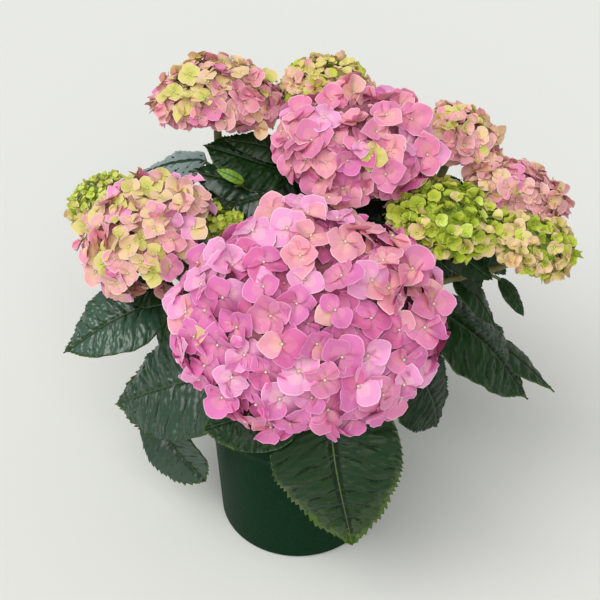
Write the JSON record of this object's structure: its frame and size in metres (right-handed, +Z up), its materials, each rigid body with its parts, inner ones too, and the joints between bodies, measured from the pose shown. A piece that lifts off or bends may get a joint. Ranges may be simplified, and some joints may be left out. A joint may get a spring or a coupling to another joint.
{
  "type": "hydrangea shrub",
  "caption": "Potted mophead hydrangea in bloom: rounded flower heads in pink, blush and lime over large serrated leaves, in a round plastic pot.",
  "frame": {"origin": "centre of the pot's flat underside, on the surface the pot stands on", "axes": "+Z up, -Y towards the viewer and the largest flower head, +X to the viewer's right"},
  "size_m": [0.4559, 0.3433, 0.3968],
  "materials": {
    "pot": "satin moulded dark green plastic",
    "soil": "coarse dark potting soil",
    "wood": "rough bark",
    "cane": "smooth green cane, browner at the foot",
    "blossom_pink": "soft matte petals",
    "blossom_blush": "soft matte petals",
    "blossom_lime": "soft matte petals",
    "leaf": "quilted leaf with a soft sheen"
  },
  "bodies": {
    "root": {"pot": "pot", "soil": "soil", "stump": "wood", "head_front": "blossom_pink", "head_centre": "blossom_pink", "head_back_left": "blossom_blush", "head_back": "blossom_lime", "head_back_right": "blossom_blush", "head_right": "blossom_blush", "head_lime": "blossom_lime", "head_lime_right": "blossom_lime", "head_left": "blossom_blush", "head_far_left": "blossom_lime", "head_bud": "blossom_lime", "cane_front": "cane", "cane_centre": "cane", "cane_back_left": "cane", "cane_back_right": "cane", "cane_right": "cane", "cane_left": "cane", "shoot_back": "cane", "shoot_right": "cane", "shoot_lime_right": "cane", "shoot_far_left": "cane", "shoot_bud": "cane", "foliage_front": "leaf", "foliage_left": "leaf", "foliage_right": "leaf", "foliage_back": "leaf", "foliage_upper_left": "leaf", "foliage_upper_right": "leaf", "leaf_front": "leaf", "leaf_front_left": "leaf", "leaf_low_left": "leaf", "leaf_under_left": "leaf", "leaf_left": "leaf", "leaf_left_small": "leaf", "leaf_right": "leaf", "leaf_right_back": "leaf", "leaf_right_low": "leaf", "leaf_right_inner": "leaf", "leaf_right_small": "leaf", "leaf_upper_left": "leaf", "leaf_far_left": "leaf", "leaf_back_left": "leaf", "leaf_back": "leaf", "leaf_back_right": "leaf", "leaf_back_low": "leaf", "leaf_back_low_right": "leaf"}
  },
  "joints": []
}
